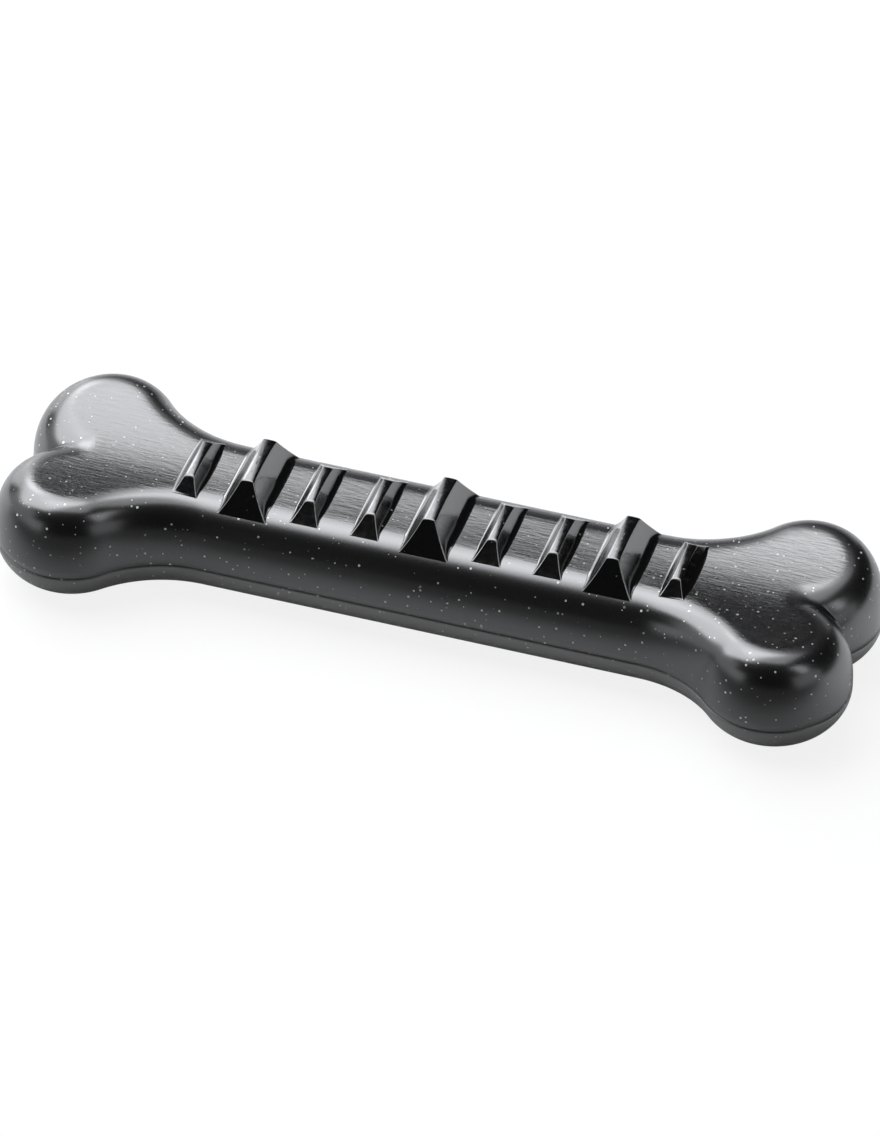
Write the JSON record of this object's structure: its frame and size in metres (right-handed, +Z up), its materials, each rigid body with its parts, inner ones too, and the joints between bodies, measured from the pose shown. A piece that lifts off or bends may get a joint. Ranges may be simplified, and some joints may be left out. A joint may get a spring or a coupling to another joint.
{
  "type": "bone-shaped dog toy",
  "caption": "Bone-shaped dog chew toy of glossy black plastic: a straight shaft with paired round lobes at both ends and tall and low ridges across its top.",
  "frame": {"origin": "on the surface that the toy lies on, under the middle of the bone", "axes": "+Z up from the face that the toy rests on to the ridges; +X along the bone; +Y across the shaft"},
  "size_m": [0.18, 0.0536, 0.0288],
  "materials": {
    "upper_body": "glossy black plastic with fine lengthwise grain and scattered pale specks",
    "lower_body": "satin black plastic with scattered pale specks",
    "ridges": "polished black plastic"
  },
  "bodies": {
    "root": {"lower_half": "lower_body", "upper_half": "upper_body", "ridge_1": "ridges", "ridge_2": "ridges", "ridge_3": "ridges", "ridge_4": "ridges", "ridge_5": "ridges", "ridge_6": "ridges", "ridge_7": "ridges", "ridge_8": "ridges", "ridge_9": "ridges"}
  },
  "joints": []
}
